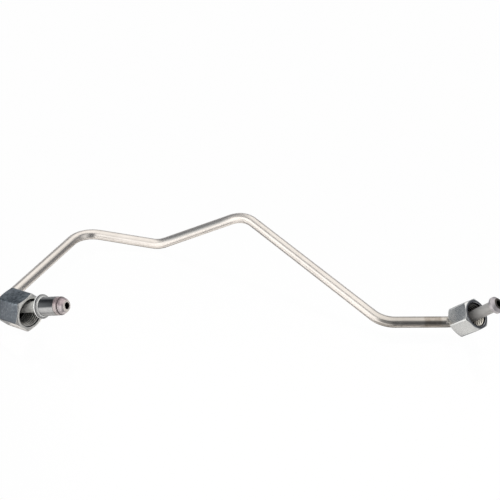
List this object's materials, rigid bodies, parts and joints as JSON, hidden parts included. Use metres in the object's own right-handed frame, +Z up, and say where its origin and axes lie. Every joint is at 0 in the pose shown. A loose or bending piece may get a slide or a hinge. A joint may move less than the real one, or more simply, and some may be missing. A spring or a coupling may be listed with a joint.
{
  "type": "bent tube assembly",
  "caption": "Bent steel pressure tube with formed sealing heads, a thrust sleeve and loose hexagon union nuts that turn on the tube and join it to threaded ports.",
  "frame": {"origin": "middle of the part seen from above, on the table that it lies on", "axes": "+X the long way, from the inlet end to the outlet end; +Y to the back; +Z up from the table"},
  "size_m": [0.2804, 0.112, 0.0292],
  "materials": {
    "tube_steel": "bright plated, fine draw lines",
    "sleeve_zinc": "bright zinc plated, turned",
    "inlet_nut_zinc": "zinc plated, mottled blue grey",
    "outlet_nut_zinc": "zinc plated, satin"
  },
  "bodies": {
    "line": {"pressure_tube": "tube_steel", "thrust_sleeve": "sleeve_zinc"},
    "inlet_nut": {"inlet_union_nut": "inlet_nut_zinc"},
    "outlet_nut": {"outlet_union_nut": "outlet_nut_zinc"}
  },
  "joints": [
    {"name": "inlet_nut_turn", "type": "hinge", "parent": "line", "child": "inlet_nut", "pos_m": [-0.13145, -0.03719, 0.01072], "axis": [0.8161, -0.5564, 0.1559], "continuous": true},
    {"name": "outlet_nut_turn", "type": "hinge", "parent": "line", "child": "outlet_nut", "pos_m": [0.12128, -0.02771, 0.00818], "axis": [0.5599, -0.4449, 0.699], "continuous": true}
  ]
}
